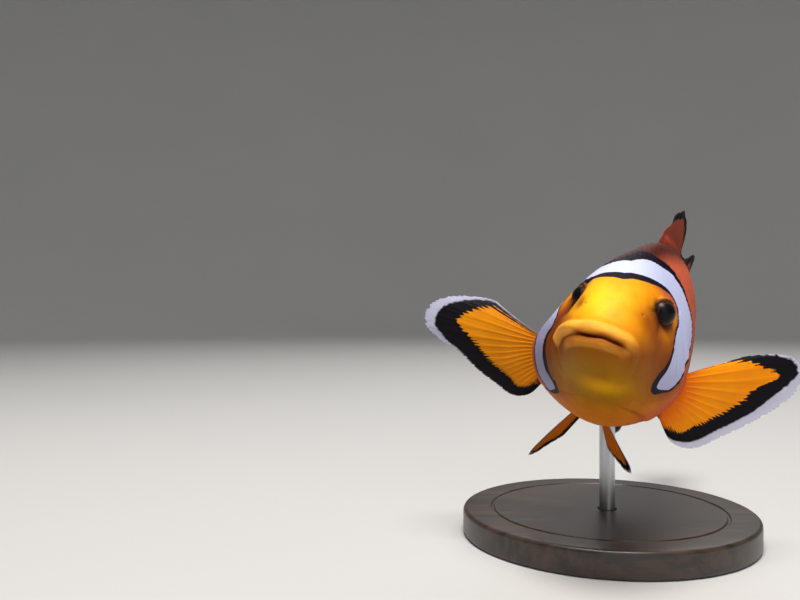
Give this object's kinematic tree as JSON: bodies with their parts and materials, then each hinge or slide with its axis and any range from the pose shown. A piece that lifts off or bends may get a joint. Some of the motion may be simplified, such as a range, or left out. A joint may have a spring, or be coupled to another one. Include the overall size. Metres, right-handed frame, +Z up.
{
  "type": "clownfish",
  "caption": "Life-size still clownfish with rounded black-edged fins and white bars, swimming forward, held above a round base by one short rod for display.",
  "frame": {"origin": "centre of the round base's flat underside", "axes": "+Z up; the fish heads towards -Y, turned 20 degrees towards -X, and its left side is on +X"},
  "size_m": [0.0648, 0.0843, 0.0624],
  "materials": {
    "skin_orange": "satin",
    "skin_deep_orange": "satin",
    "skin_white": "satin",
    "lip": "satin",
    "fin": "satin",
    "eye": "gloss",
    "base_wood": "satin",
    "rod_steel": "satin"
  },
  "bodies": {
    "root": {"head": "skin_orange", "lower_jaw": "skin_orange", "lip_upper": "lip", "lip_lower": "lip", "gill_cover_left": "skin_white", "gill_cover_right": "skin_white", "trunk": "skin_deep_orange", "tail_stem": "skin_deep_orange", "eye_left": "eye", "eye_right": "eye", "dorsal_fin_spiny": "fin", "dorsal_fin_soft": "fin", "anal_fin": "fin", "caudal_fin": "fin", "pectoral_fin_left": "fin", "pectoral_fin_right": "fin", "pelvic_fin_left": "fin", "pelvic_fin_right": "fin", "stand_base": "base_wood", "stand_rod": "rod_steel"}
  },
  "joints": []
}
